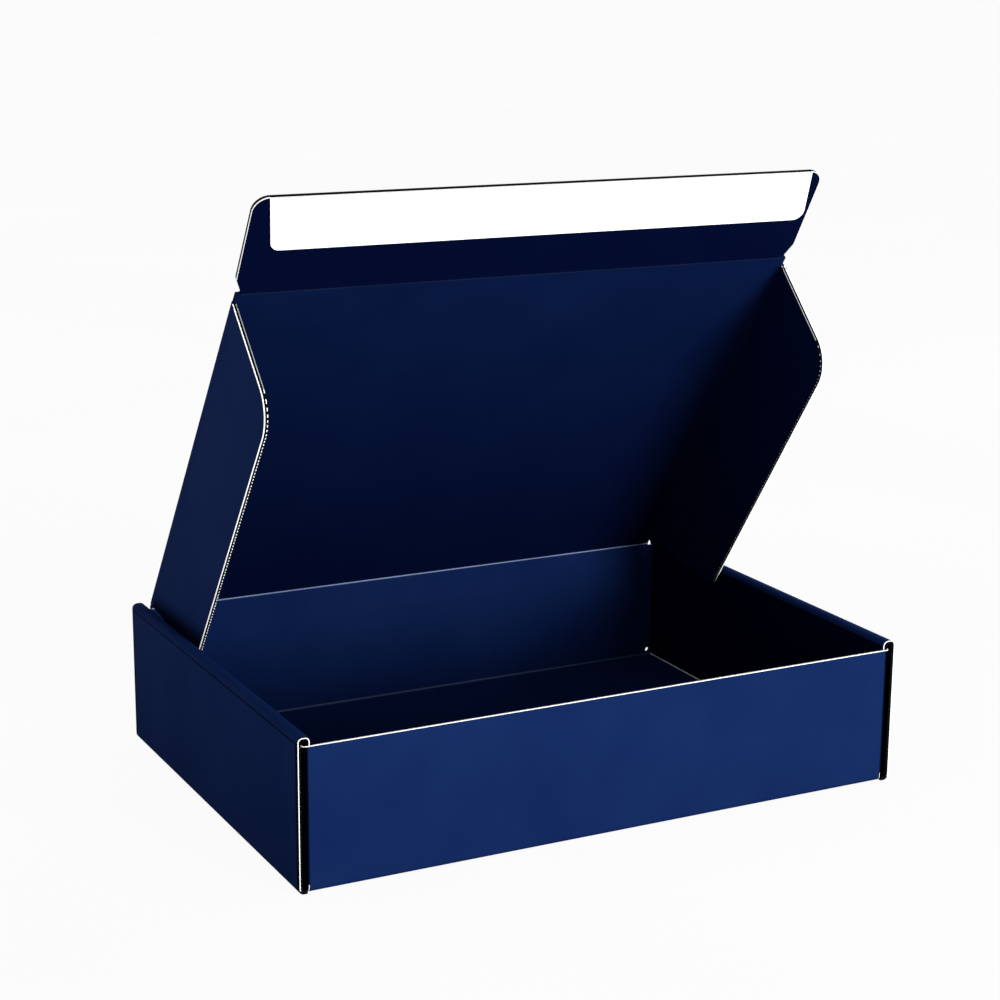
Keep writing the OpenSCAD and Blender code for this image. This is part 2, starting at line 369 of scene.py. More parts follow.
# The crease at the foot of the back wall shows as a thin rubbed line
def trayRub(tree, place, fibre):
    rise = calc(tree, "SUBTRACT", axisOf(tree, place, "Z"), (thick + trayShadeAndRub["footRise"]) * mm)
    y = axisOf(tree, place, "Y")
    crease = both(tree, pressed(tree, rise, trayShadeAndRub["footWidth"] * mm),
                  above(tree, y, depthHalf - foldOut - trayShadeAndRub["footPast"]),
                  below(tree, y, depthHalf - thick / 2))
    patchy = calc(
        tree, "MULTIPLY_ADD", fibre.outputs["Mottle"], trayShadeAndRub["patchSpread"], trayShadeAndRub["patchFrom"])
    return calc(tree, "MULTIPLY", calc(tree, "MULTIPLY", crease, trayShadeAndRub["footRub"]), patchy)


# The lid and the front flap have their inner face below their own plane
def lidInside(tree, place):
    along = calc(tree, "MULTIPLY", axisOf(tree, place, "Y"), -1.0)
    # Painted shade on the lid's inner face, deeper towards the hinge, where the tray shades it
    depth = ramp(tree, along, 0, lidLength, inside["lidAtHinge"], inside["lidAtFlap"])
    return calc(tree, "MULTIPLY", below(tree, axisOf(tree, place, "Z"), 0), depth)


def frontInside(tree, place):
    return calc(tree, "MULTIPLY", below(tree, axisOf(tree, place, "Z"), 0), inside["frontFlap"])


# A side flap's inner face lies on the crease, its outer face a board's thickness further out
earCrease = Vector(joints["right_flap_fold"]["pos_m"]) / mm
earSlope = abs(joints["right_flap_fold"]["axis"][0])


def sideInside(tree, place):
    x = calc(tree, "ABSOLUTE", axisOf(tree, place, "X"))
    spread = calc(tree, "MULTIPLY_ADD", axisOf(tree, place, "Y"), -earSlope, x)
    return calc(tree, "MULTIPLY", below(tree, spread, earCrease.x + thick / 2), inside["sideFlaps"])


# Deep shade on the outside of a side flap, where it dips behind the rolled rim
footShade = {"reach": 9.5, "strength": 0.8, "falloff": 1.5}


def sideShade(tree, place):
    x = calc(tree, "ABSOLUTE", axisOf(tree, place, "X"))
    spread = calc(tree, "MULTIPLY_ADD", axisOf(tree, place, "Y"), -earSlope, x)
    rise = calc(tree, "MULTIPLY_ADD", axisOf(tree, place, "Y"), -lidAlong.z, hingePlace.z)
    height = calc(tree, "MULTIPLY_ADD", axisOf(tree, place, "Z"), -lidInward.z, rise)
    near = ramp(tree, height, trayHigh.z, trayHigh.z + footShade["reach"], 1.0, 0.0)
    soft = calc(tree, "POWER", near, footShade["falloff"])
    soft = calc(tree, "MULTIPLY", soft, footShade["strength"])
    return both(tree, soft, above(tree, spread, earCrease.x + thick / 2))


lidTurn = math.atan2(lidAlong.z, -lidAlong.y)
trayInk = makeInk("trayInk", paintedInnerShade=trayInside, paintedShade=trayPaintedShade, wear=trayRub)
lidInk = makeInk("lidInk", lidTurn, hingePlace, paintedInnerShade=lidInside)
sideInk = makeInk("sideFlapInk", lidTurn, hingePlace, paintedInnerShade=sideInside, paintedShade=sideShade)
frontInk = makeInk("frontFlapInk", lidTurn + abs(flapTilt), flapPlace, paintedInnerShade=frontInside)


# Along a crease the strip's own attributes say how much painted shade its ink carries, as on the
# faces beside it, and how far it is rubbed
def creaseInnerShade(tree, place):
    return addNode(tree, "ShaderNodeAttribute", attribute_name="depth").outputs["Fac"]


def rubbed(tree, place, fibre):
    amount = addNode(tree, "ShaderNodeAttribute", attribute_name="wear").outputs["Fac"]
    patchy = addNode(tree, "ShaderNodeMapRange", {
        "Value": fibre.outputs["Mottle"], "From Min": 0.25, "From Max": 0.75,
        "To Min": 0.6, "To Max": 1.0})
    return calc(tree, "MULTIPLY", amount, patchy.outputs[0])


foldInk = makeInk("foldInk", paintedInnerShade=creaseInnerShade, wear=rubbed)


# Papers and glue: a mottled tone, fibres in the roughness and a slight bump
def makeFinish(name, look):
    material, tree, shader, coords = newMaterial(name)
    fibre = useGroup(tree, fibreGroup, {
        "Vector": coords, "Fibre Scale": look["fibreScale"], "Mottle Scale": look["mottleScale"]})
    tone = mixed(tree, fibre.outputs["Mottle"], look["darker"], look["lighter"])
    tree.links.new(tone, shader.inputs["Base Color"])
    rough = calc(tree, "MULTIPLY_ADD", fibre.outputs["Fibre"], look["roughSpread"], look["rough"])
    tree.links.new(rough, shader.inputs["Roughness"])
    shader.inputs["Specular IOR Level"].default_value = look["specular"]
    if "bump" in look:
        bump = addNode(tree, "ShaderNodeBump", {
            "Height": fibre.outputs[look["bumpFrom"]], "Strength": look["bump"],
            "Distance": look["bumpDepth"] * mm})
        tree.links.new(bump.outputs[0], shader.inputs["Normal"])
    return material


# White liners at the cut edges, and a darker copy of the same paper as painted shade where it lies in
# shade
cutPaper = {"darker": (0.80, 0.81, 0.80, 1), "lighter": (0.97, 0.97, 0.95, 1),
            "fibreScale": 2600.0, "mottleScale": 160.0, "rough": 0.75, "roughSpread": 0.2,
            "specular": 0.2, "bump": 0.25, "bumpFrom": "Fibre", "bumpDepth": 0.05}
dimPaper = {**cutPaper, "darker": (0.20, 0.205, 0.21, 1), "lighter": (0.40, 0.40, 0.39, 1)}
# Painted shade for the hollows between the liners of a cut edge: a near-black strip
hollowShade = {"darker": (0.0003, 0.0004, 0.0010, 1), "lighter": (0.0010, 0.0013, 0.0030, 1),
               "fibreScale": 1800.0, "mottleScale": 300.0, "rough": 0.85, "roughSpread": 0.1,
               "specular": 0.05}
# Peel-off liner: smooth coated paper
coatedPaper = {"darker": (0.93, 0.94, 0.92, 1), "lighter": (0.98, 0.985, 0.97, 1),
               "fibreScale": 2200.0, "mottleScale": 40.0, "rough": 0.36, "roughSpread": 0.12,
               "specular": 0.4, "bump": 0.06, "bumpFrom": "Fibre", "bumpDepth": 0.03}
# Adhesive under the liner: milky, slightly glossy film
milkyFilm = {"darker": (0.62, 0.60, 0.52, 1), "lighter": (0.78, 0.76, 0.68, 1),
             "fibreScale": 700.0, "mottleScale": 120.0, "rough": 0.18, "roughSpread": 0.2,
             "specular": 0.5, "bump": 0.2, "bumpFrom": "Mottle", "bumpDepth": 0.1}

rawPaper = makeFinish("rawPaper", cutPaper)
shadedPaper = makeFinish("shadedPaper", dimPaper)
paintedHollowShade = makeFinish("paintedHollowShade", hollowShade)
releasePaper = makeFinish("releasePaper", coatedPaper)
glueFilm = makeFinish("glueFilm", milkyFilm)

nodeFinish = {
    "tray": trayInk,
    "lid": lidInk,
    "left_lid_flap": sideInk,
    "right_lid_flap": sideInk,
    "front_flap": frontInk,
    "adhesive_strip": glueFilm,
    "release_liner": releasePaper,
}
for nodeName, finish in nodeFinish.items():
    nodes[nodeName].material_slots[0].material = finish
print("materials on", len(nodeFinish), "nodes")


# Cut edge of the board: two liners, the hollow between them and the waved sheet in it
def makeCutEdgeTree():
    tree = bpy.data.node_groups.new("cutEdge", "GeometryNodeTree")
    identifiers = {}
    boolKind = "NodeSocketBool"
    finishKind = "NodeSocketMaterial"
    sockets = [
        ("Path", "NodeSocketGeometry", None), ("Board", floatKind, 1.6 * mm),
        ("Overhang", floatKind, 0.02 * mm), ("Inset", floatKind, 0.0),
        ("Outer Liner", floatKind, 0.5 * mm), ("Inner Liner", floatKind, 0.2 * mm),
        ("Proud", floatKind, 0.06 * mm), ("Hollow Proud", floatKind, 0.03 * mm),
        ("Lip", floatKind, 0.1 * mm), ("Turn", floatKind, 0.0), ("Faced", boolKind, True),
        ("Lined", boolKind, True), ("Fluted", boolKind, True), ("Flute Pitch", floatKind, 1.65 * mm),
        ("Crest", floatKind, 0.0), ("Dim Crests", boolKind, False), ("Gap", floatKind, 0.3 * mm),
        ("Medium", floatKind, 0.22 * mm), ("Step", floatKind, 0.3 * mm),
        ("Paper", finishKind, None), ("Hollow", finishKind, None), ("Shaded", finishKind, None),
    ]
    for label, kind, value in sockets:
        socket = tree.interface.new_socket(label, in_out="INPUT", socket_type=kind)
        if value is not None:
            socket.default_value = value
        identifiers[label] = socket.identifier
    tree.interface.new_socket("Edge", in_out="OUTPUT", socket_type="NodeSocketGeometry")
    given = tree.nodes.new("NodeGroupInput").outputs
    result = tree.nodes.new("NodeGroupOutput")
    half = calc(tree, "MULTIPLY", given["Board"], 0.5)
    reach = calc(tree, "ADD", half, given["Overhang"])

    def ribbon(path, width, centre, proud):
        tall = calc(tree, "ADD", proud, given["Lip"])
        middle = calc(tree, "MULTIPLY", calc(tree, "SUBTRACT", proud, given["Lip"]), 0.5)
        shape = addNode(tree, "GeometryNodeCurvePrimitiveQuadrilateral", {
            "Width": tall, "Height": width})
        spot = addNode(tree, "ShaderNodeCombineXYZ", {"X": middle, "Y": centre})
        moved = addNode(tree, "GeometryNodeTransform", {
            0: shape.outputs[0], "Translation": spot.outputs[0]})
        angle = addNode(tree, "ShaderNodeCombineXYZ", {"Z": given["Turn"]})
        turned = addNode(tree, "GeometryNodeTransform", {
            0: moved.outputs[0], "Rotation": angle.outputs[0]})
        upright = addNode(tree, "GeometryNodeSetCurveNormal", {0: path}, mode="Z_UP")
        swept = addNode(tree, "GeometryNodeCurveToMesh", {
            "Curve": upright.outputs[0], "Profile Curve": turned.outputs[0], "Fill Caps": True})
        return swept.outputs[0]

    def marked(part, label, where=True):
        node = addNode(tree, "GeometryNodeStoreNamedAttribute", {
            0: part, "Name": label, "Value": where}, data_type="BOOLEAN", domain="FACE")
        return node.outputs[0]

    def onlyIf(switch, part):
        node = addNode(tree, "GeometryNodeSwitch", {
            "Switch": given[switch], "True": part}, input_type="GEOMETRY")
        return node.outputs[0]

    outerSide = calc(tree, "SUBTRACT", reach, given["Inset"])
    outerMiddle = calc(tree, "MULTIPLY_ADD", given["Outer Liner"], -0.5, outerSide)
    outer = ribbon(given["Path"], given["Outer Liner"], outerMiddle, given["Proud"])
    innerMiddle = calc(tree, "SUBTRACT", calc(tree, "MULTIPLY", given["Inner Liner"], 0.5), reach)
    inner = ribbon(given["Path"], given["Inner Liner"], innerMiddle, given["Proud"])
    # Outer liner white; inner liner in the painted-shade paper; the hollow a near-black strip of
    # painted shade
    facing = onlyIf("Faced", outer)
    lining = onlyIf("Lined", marked(inner, "isShaded"))
    hollow = marked(ribbon(given["Path"], given["Board"], 0.0, given["Hollow Proud"]), "isHollow")

    # The waved sheet swings between the gap and the inner liner, counted across the flutes
    fine = addNode(tree, "GeometryNodeResampleCurve", {
        0: given["Path"], "Length": given["Step"]}, mode="LENGTH")
    position = addNode(tree, "GeometryNodeInputPosition")
    across = addNode(tree, "ShaderNodeSeparateXYZ", {0: position.outputs[0]})
    turns = calc(tree, "DIVIDE", across.outputs["X"], given["Flute Pitch"])
    wave = calc(tree, "SINE", calc(tree, "MULTIPLY", turns, 2 * math.pi))
    taken = calc(tree, "ADD", given["Outer Liner"], given["Gap"])
    solid = calc(tree, "ADD", calc(tree, "ADD", taken, given["Inner Liner"]), given["Medium"])
    free = calc(tree, "SUBTRACT", given["Board"], solid)
    swing = calc(tree, "MULTIPLY", wave, calc(tree, "MULTIPLY", free, 0.5))
    lean = calc(tree, "MULTIPLY", calc(tree, "SUBTRACT", taken, given["Inner Liner"]), 0.5)
    shift = addNode(tree, "ShaderNodeCombineXYZ", {"Z": calc(tree, "ADD", swing, lean)})
    waved = addNode(tree, "GeometryNodeSetPosition", {
        0: fine.outputs[0], "Offset": shift.outputs[0]})
    kept = addNode(tree, "GeometryNodeStoreNamedAttribute", {
        0: waved.outputs[0], "Name": "wave", "Value": wave}, data_type="FLOAT", domain="POINT")
    sheet = ribbon(kept.outputs[0], given["Medium"], 0.0, calc(tree, "MULTIPLY", given["Proud"], 0.8))
    # Only the crests stay light: troughs get the painted hollow shade, dim crests the painted-shade
    # paper
    height = addNode(tree, "GeometryNodeInputNamedAttribute", {"Name": "wave"}, data_type="FLOAT")
    trough = calc(tree, "LESS_THAN", height.outputs[0], given["Crest"])
    crested = marked(sheet, "isHollow", trough)
    waves = onlyIf("Fluted", marked(crested, "isShaded", given["Dim Crests"]))

    joined = tree.nodes.new("GeometryNodeJoinGeometry")
    for part in (waves, hollow, lining, facing):
        tree.links.new(part, joined.inputs[0])
    real = addNode(tree, "GeometryNodeRealizeInstances", {0: joined.outputs[0]})
    coloured = addNode(tree, "GeometryNodeSetMaterial", {
        0: real.outputs[0], "Material": given["Paper"]})
    for label, finish in (("isShaded", "Shaded"), ("isHollow", "Hollow")):
        mask = addNode(tree, "GeometryNodeInputNamedAttribute", {
            "Name": label}, data_type="BOOLEAN")
        coloured = addNode(tree, "GeometryNodeSetMaterial", {
            0: coloured.outputs[0], "Selection": mask.outputs[0], "Material": given[finish]})
    tree.links.new(coloured.outputs[0], result.inputs[0])
    return tree, identifiers


cutEdgeTree, cutEdgeInputs = makeCutEdgeTree()
notLengths = ("Turn", "Faced", "Lined", "Fluted", "Crest", "Dim Crests")


# One cut edge along a flat path in millimetres, set in place as a plain mesh
def cutEdge(points, place, sizes):
    curve = bpy.data.curves.new("cutPath", "CURVE")
    curve.dimensions = "3D"
    spline = curve.splines.new("POLY")
    spline.points.add(len(points) - 1)
    for knot, point in zip(spline.points, points):
        knot.co = (point[0] * mm, point[1] * mm, 0, 1)
    holder = addObject("cutPath", curve)
    modifier = holder.modifiers.new("cutEdge", "NODES")
    modifier.node_group = cutEdgeTree
    for label, value in {"Board": thick, **sizes}.items():
        modifier[cutEdgeInputs[label]] = value if label in notLengths else value * mm
    modifier[cutEdgeInputs["Paper"]] = rawPaper
    modifier[cutEdgeInputs["Hollow"]] = paintedHollowShade
    modifier[cutEdgeInputs["Shaded"]] = shadedPaper
    bpy.context.view_layer.update()
    graph = bpy.context.evaluated_depsgraph_get()
    mesh = bpy.data.meshes.new_from_object(holder.evaluated_get(graph), depsgraph=graph)
    mesh.transform(place)
    bpy.data.objects.remove(holder)
    bpy.data.curves.remove(curve)
    return mesh


# Several edges of one body become one piece
def makePiece(name, meshes, body):
    merged = bmesh.new()
    finishes = []
    for mesh in meshes:
        before = len(merged.faces)
        merged.from_mesh(mesh)
        merged.faces.ensure_lookup_table()
        for face in merged.faces[before:]:
            finish = mesh.materials[face.material_index]
            if finish not in finishes:
                finishes.append(finish)
            face.material_index = finishes.index(finish)
        bpy.data.meshes.remove(mesh)
    whole = bpy.data.meshes.new(name)
    merged.to_mesh(whole)
    merged.free()
    for finish in finishes:
        whole.materials.append(finish)
    piece = addObject(name, whole)
    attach(piece, body)


def arcPoints(centre, radius, first, last, count):
    angles = [first + (last - first) * i / count for i in range(count + 1)]
    return [(centre[0] + radius * math.cos(a), centre[1] + radius * math.sin(a)) for a in angles]


# In a section through the board the outer liner lies to the left of the path's travel
quarter = math.pi / 2
sectionEdge = {"Hollow Proud": 0.03, "Turn": quarter, "Lined": False, "Fluted": False}

# Front wall's cut top, round the corner folds and back along the tabs
topEdge = {**sectionEdge, "Outer Liner": 0.95, "Lip": 0.12, "Overhang": 0.04, "Proud": 0.05}
topSteps = 8


def wallTopPath():
    y = -depthHalf + thick / 2
    tab = wallHalf + foldMid
    turn = -depthHalf + foldOut
    left = [(-tab, -(turn + board["tabReach"]))]
    fold = arcPoints((-wallHalf, turn), foldMid, 2 * quarter, 3 * quarter, topSteps)
    left += [(p[0], -p[1]) for p in fold]
    right = [(-p[0], p[1]) for p in reversed(left)]
    return left + [(0, -y)] + right


topPlace = frameOf(Vector((0, 0, frontTop * mm)), worldX, -worldY)
wallTop = cutEdge(wallTopPath(), topPlace, topEdge)

# Raw ends of the rolled side walls, over the roll and down to the front wall's edge
rollEdge = {**sectionEdge, "Inset": 0.46, "Outer Liner": 0.34, "Lip": 0.1, "Overhang": 0.02,
            "Proud": 0.05}
rollSteps = {"fold": 6, "dark": 5}  # steps of a quarter turn, and how many of the path stay dark


def rollPath(outerFirst):
    foldCentre = (boxHalf - foldOut, foldOut)
    rimCentres = [(boxHalf - rimOut, rimHeight), (innerX + rimOut, rimHeight)]
    path = [(innerX + thick + board["layerGap"], thick / 2)]
    path += arcPoints(foldCentre, foldMid, -quarter, 0, rollSteps["fold"])
    for i, centre in enumerate(rimCentres):
        span = (i * quarter, (i + 1) * quarter)
        path += arcPoints(centre, rimOut - thick / 2, *span, rollSteps["fold"])
    path.append((innerX + thick / 2, frontTop + board["layerGap"]))
    return path if outerFirst else path[::-1]


# The part under the bottom fold has no white liner and shows only the painted hollow shade
def rollCuts(points, place, outerFirst, look):
    dark = rollSteps["dark"]
    turn = dark if outerFirst else len(points) - 1 - dark
    parts = [points[:turn + 1], points[turn:]]
    looks = [{**look, "Faced": False}, look]
    if not outerFirst:
        looks.reverse()
    return [cutEdge(part, place, each) for part, each in zip(parts, looks)]


rollEnds = []
frontPlace = frameOf(Vector((0, -depthHalf * mm, 0)), worldZ, worldX)
rearPlace = frameOf(Vector((0, depthHalf * mm, 0)), worldX, worldZ)
for side in (-1, 1):
    look = rollEdge if side < 0 else {**rollEdge, "Inset": 0.0}
    rollEnds += rollCuts([(z, side * x) for x, z in rollPath(side > 0)], frontPlace, side > 0, look)
    rollEnds += rollCuts([(side * x, z) for x, z in rollPath(side < 0)], rearPlace, side < 0, look)

# Below the corner folds the end walls' bottom folds are cut through
foldEdge = {**rollEdge, "Inset": 0.0, "Outer Liner": 0.8}
foldTop = 3.2
foldEnds = []
bottomCentre = (-depthHalf + foldOut, foldOut)
bottomFold = arcPoints(bottomCentre, foldMid, -quarter, -2 * quarter, rollSteps["fold"])
bottomFold.append((-depthHalf + thick / 2, foldTop))
for side in (-1, 1):
    for front in (-1, 1):
        section = [(-front * y, z) for y, z in bottomFold]
        if side * front < 0:
            section.reverse()
        spot = Vector((side * wallHalf * mm, 0, 0))
        place = frameOf(spot, worldY, worldZ)
        if side > 0:
            section = [(z, y) for y, z in section]
            place = frameOf(spot, worldZ, worldY)
        foldEnds.append(cutEdge(section, place, foldEdge))

# Feet of the rolled-in walls: the cut shows as a thin line along the bottom
footEdge = {**sectionEdge, "Outer Liner": 0.4, "Lip": 0.6, "Overhang": 0.03, "Proud": 0.04,
            "Hollow Proud": 0.02}
footClear = 0.2
footEnds = []
footEnd = depthHalf - foldOut - footClear
footPlace = frameOf(Vector((0, 0, footHeight * mm)), worldX, worldY)
for side in (-1, 1):
    footPath = [(side * (innerX + thick / 2), side * spot) for spot in (-footEnd, footEnd)]
    footEnds.append(cutEdge(footPath, footPlace, footEdge))

makePiece("trayCutEdges", [wallTop] + rollEnds + foldEnds + footEnds, "tray")
print("tray's cut edges made")


outlining = {"straight": 0.01, "level": 0.02}  # what counts as in line, and as equally far


# Outline of a flat, convex flap from its CAD node, counter-clockwise, without the crease side
def outlineOf(nodeName, place, creaseAxis):
    back = place.inverted()
    flat = [back @ vertex.co for vertex in nodes[nodeName].data.vertices]
    points = sorted({(round(p.x / mm, 3), round(p.y / mm, 3)) for p in flat})

    def chain(order):
        kept = []
        for p in order:
            while len(kept) > 1:
                a, b = kept[-2], kept[-1]
                bend = (b[0] - a[0]) * (p[1] - a[1]) - (b[1] - a[1]) * (p[0] - a[0])
                if bend > outlining["straight"]:
                    break
                kept.pop()
            kept.append(p)
        return kept[:-1]

    hull = chain(points) + chain(points[::-1])
    limit = min(p[creaseAxis] for p in hull) + outlining["level"]
    onCrease = [p[creaseAxis] < limit for p in hull]
    count = len(hull)
    start = next(i for i in range(count) if onCrease[i] and not onCrease[(i + 1) % count])
    path = hull[start:] + hull[:start]
    stop = next(i for i in range(1, count) if path[i][creaseAxis] < limit)
    return path[:stop + 1]


# Indices of the outline's points that lie farthest from the crease
def farSide(outline, creaseAxis):
    limit = max(p[creaseAxis] for p in outline) - outlining["level"]
    return [i for i, p in enumerate(outline) if p[creaseAxis] > limit]


# Cut edges stop a little short of the crease, so that they clear the lid as the flaps turn
def trimmed(path, amount):
    first, second, *_ = [Vector(p) for p in path]
    *_, before, last = [Vector(p) for p in path]
    start = first + (second - first).normalized() * amount
    end = last + (before - last).normalized() * amount
    return [tuple(start)] + path[1:-1] + [tuple(end)]


# The flutes show on the side flaps' edges; the right one has smaller crests in the painted-shade
# paper
flapEdge = {"Outer Liner": 0.44, "Inner Liner": 0.04, "Lip": 0.05, "Overhang": 0.02, "Proud": 0.06,
            "Hollow Proud": 0.03, "Lined": False, "Gap": 0.52, "Medium": 0.32, "Step": 0.2,
            "Flute Pitch": 1.65, "Crest": 0.1}
dimEdge = {**flapEdge, "Crest": 0.8, "Dim Crests": True}
linedEdge = {**flapEdge, "Inner Liner": 0.34, "Lined": True, "Fluted": False}
# An edge with no white liner shows only the painted hollow shade
darkEdge = {**flapEdge, "Faced": False, "Fluted": False}
singleLinerEdge = {**flapEdge, "Outer Liner": 0.5, "Fluted": False}
frontEdge = {**flapEdge, "Outer Liner": 0.2, "Fluted": False}
creaseTrim = 0.4
sideNames = {-1: "left", 1: "right"}
for side, sideName in sideNames.items():
    joint = joints[sideName + "_flap_fold"]
    crease = Vector(joint["axis"]).normalized()
    if crease.dot(lidAlong) < 0:
        crease = -crease
    middle = Vector(joint["pos_m"]) + worldX * (side * thick / 2 * mm)
    place = frameOf(middle, crease * -side, lidInward)
    node = sideName + "_lid_flap"
    outline = trimmed(outlineOf(node, place, 1), creaseTrim)
    foot = farSide(outline, 1)
    heel = foot[-1] if side < 0 else foot[0]
    nose = 1 if side < 0 else len(outline) - 2
    low, high = sorted((heel, nose))
    looks = [linedEdge, flapEdge if side < 0 else dimEdge, darkEdge][::-side]
    paths = [outline[:low + 1], outline[low:high + 1], outline[high:]]
    meshes = [cutEdge(path, place, look) for path, look in zip(paths, looks)]
    makePiece(sideName + "FlapCutEdge", meshes, node)

# The front flap's cut edge is mostly the painted hollow shade: dark along the front, with one white
# liner round the corners
place = frameOf(flapPlace, flapAlong, flapAlong.cross(flapInward))
outline = outlineOf("front_flap", place, 0)
front = farSide(outline, 0)
first, last = front[0], front[-1]
edges = [(outline[:2], darkEdge), (outline[1:first + 1], singleLinerEdge),
         (outline[first:last + 1], frontEdge), (outline[last:-1], singleLinerEdge),
         (outline[-2:], darkEdge)]
meshes = [cutEdge(path, place, look) for path, look in edges]
makePiece("frontFlapCutEdge", meshes, "front_flap")

# The lid's corners are cut square beyond the ends of the side flaps
cornerSpans = {"rear": (1.0, 3.5), "front": (172.0, lidLength)}
lidCorners = []
place = frameOf(hingePlace, lidAlong, -worldX)
for side in (-1, 1):
    for span in cornerSpans.values():
        path = [(s, -side * (earCrease.x + board["lidCut"] - earSlope * s)) for s in span]
        lidCorners.append(cutEdge(path if side > 0 else path[::-1], place, darkEdge))
makePiece("lidCornerCuts", lidCorners, "lid")
print("flaps' cut edges made")

# Rubbed skins over the creases
creaseSkin = {"proud": 0.04, "deep": 0.03, "length": 2.4, "steps": 14, "bendSteps": 8,
              "straight": 0.02, "rubWidth": 0.26, "outerRub": 0.14, "turnZone": 0.6, "endClear": 0.1}


def skinSection(awayA, faceA, awayB, faceB, reach):
    length = creaseSkin["length"]
    steps = creaseSkin["steps"]
    meet = reach * (faceB - faceA).dot(awayA) / (1 - awayA.dot(awayB))
    start = max(meet, 0.0)
    spots = [length * (1 - i / steps) ** 2 for i in range(steps)]
    first = [faceA * reach + awayA * (start + s) for s in spots]
    last = [faceB * reach + awayB * (start + s) for s in reversed(spots)]
    if meet <= 0:
        angle = faceA.angle(faceB)
        axis = faceA.cross(faceB).normalized() if angle > 1e-4 else worldX
        count = creaseSkin["bendSteps"] if angle > creaseSkin["straight"] else 1
        turns = [Matrix.Rotation(angle * i / count, 3, axis) for i in range(count + 1)]
        bend = [(turn @ faceA) * reach for turn in turns]
    else:
        bend = [faceA * reach + awayA * start]
    return first + bend + last


def skinMesh(name, axisPlace, axis, ends, sections, look):
    vertices = []
    faces = []
    rub = []
    depths = []
    for section, strength in zip(sections, (look["rub"], creaseSkin["outerRub"])):
        count = len(section)
        middle = section[count // 2]
        normals = []
        for i in range(count):
            along = section[min(i + 1, count - 1)] - section[max(i - 1, 0)]
            normals.append(axis.cross(along).normalized())
        flip = 1 if sum(n.dot(middle) for n in normals) >= 0 else -1
        base = len(vertices)
        isInner = section is sections[0]
        for end, before, after in zip(ends, look["before"], look["after"]):
            for deep in (0.0, creaseSkin["proud"] + creaseSkin["deep"]):
                for i, (point, normal) in enumerate(zip(section, normals)):
                    spot = point - normal * (flip * deep)
                    vertices.append(axisPlace + (spot + axis * end) * mm)
                    away = (point - middle).length
                    rub.append(strength * math.exp(-(away / creaseSkin["rubWidth"]) ** 2))
                    depths.append((before if i < count / 2 else after) if isInner else 0.0)
        rows = [[base + row * count + i for i in range(count)] for row in range(4)]
        for i in range(count - 1):
            faces.append((rows[0][i], rows[0][i + 1], rows[2][i + 1], rows[2][i]))
            faces.append((rows[1][i], rows[3][i], rows[3][i + 1], rows[1][i + 1]))
            faces.append((rows[0][i], rows[1][i], rows[1][i + 1], rows[0][i + 1]))
            faces.append((rows[2][i], rows[2][i + 1], rows[3][i + 1], rows[3][i]))
        for i in (0, count - 1):
            faces.append((rows[0][i], rows[2][i], rows[3][i], rows[1][i]))
    mesh = bpy.data.meshes.new(name)
    mesh.from_pydata(vertices, [], faces)
    for label, values in (("wear", rub), ("depth", depths)):
        mesh.attributes.new(label, "FLOAT", "POINT").data.foreach_set("value", values)
    mesh.materials.append(foldInk)
    solid = bmesh.new()
    solid.from_mesh(mesh)
    bmesh.ops.recalc_face_normals(solid, faces=solid.faces)
    solid.to_mesh(mesh)
    solid.free()
    return mesh


def addSkin(name, joint, ends, sections, look):
    axisPlace = Vector(joint["pos_m"])
    axis = Vector(joint["axis"]).normalized()
    mesh = skinMesh(name, axisPlace, axis, ends, sections, look)
    piece = addObject(name, mesh)
    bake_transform(piece)


skinReach = thick / 2 + creaseSkin["proud"]
hingeSections = [
    skinSection(-worldZ, -worldY, lidAlong, lidInward, skinReach),
    skinSection(-worldZ, worldY, lidAlong, -lidInward, skinReach),
]
hingeHalf = innerX - 2 * board["reliefRadius"] - creaseSkin["endClear"]
hingeLook = {"rub": 1.0, "before": (inside["endWalls"],) * 2, "after": (inside["lidAtHinge"],) * 2}
addSkin("lidCrease", joints["lid_hinge"], (-hingeHalf, hingeHalf), hingeSections,
        hingeLook)

flapSections = [
    skinSection(-lidAlong, lidInward, flapAlong, flapInward, skinReach),
    skinSection(-lidAlong, -lidInward, flapAlong, -flapInward, skinReach),
]
flapHalf = board["flapFoldHalf"]
flapLook = {"rub": 0.02, "before": (inside["lidAtFlap"],) * 2, "after": (inside["frontFlap"],) * 2}
addSkin("frontFlapCrease", joints["front_flap_fold"], (-flapHalf, flapHalf), flapSections,
        flapLook)

earReach = {"start": 3.6, "end": 171.9, "zone": (0.06, 0.24)}
earLook = {"rub": 0.007, "before": (inside["lidAtHinge"], inside["lidAtFlap"]),
           "after": (inside["sideFlaps"],) * 2}
for side, sideName in sideNames.items():
    joint = joints[sideName + "_flap_fold"]
    axis = Vector(joint["axis"]).normalized()
    sign = 1 if axis.dot(lidAlong) > 0 else -1
    inwardX = axis.cross(lidInward).normalized()
    if inwardX.x * side > 0:
        inwardX = -inwardX
    sections = [
        skinSection(inwardX, lidInward, lidInward, inwardX, creaseSkin["proud"]),
        skinSection(inwardX, -lidInward, lidInward, -inwardX, thick + creaseSkin["proud"]),
    ]
    ends = (sign * earReach["start"], sign * earReach["end"])
    addSkin(sideName + "FlapCrease", joint, ends, sections, earLook)
print("crease skins made")

# Pale floor that glows softly like a lit table, with a faint contact shade
stage = {"half": 30.0, "drop": 0.3 * mm, "glow": 0.955, "bounce": 1.0, "nearBounce": 0.35,
         "shadeReach": 220.0, "shade": 0.03, "ambient": 0.66,
         "darker": (0.97, 0.97, 0.97, 1), "lighter": (1, 1, 1, 1), "fibreScale": 300.0,
         "mottleScale": 3.0, "rough": 0.9}


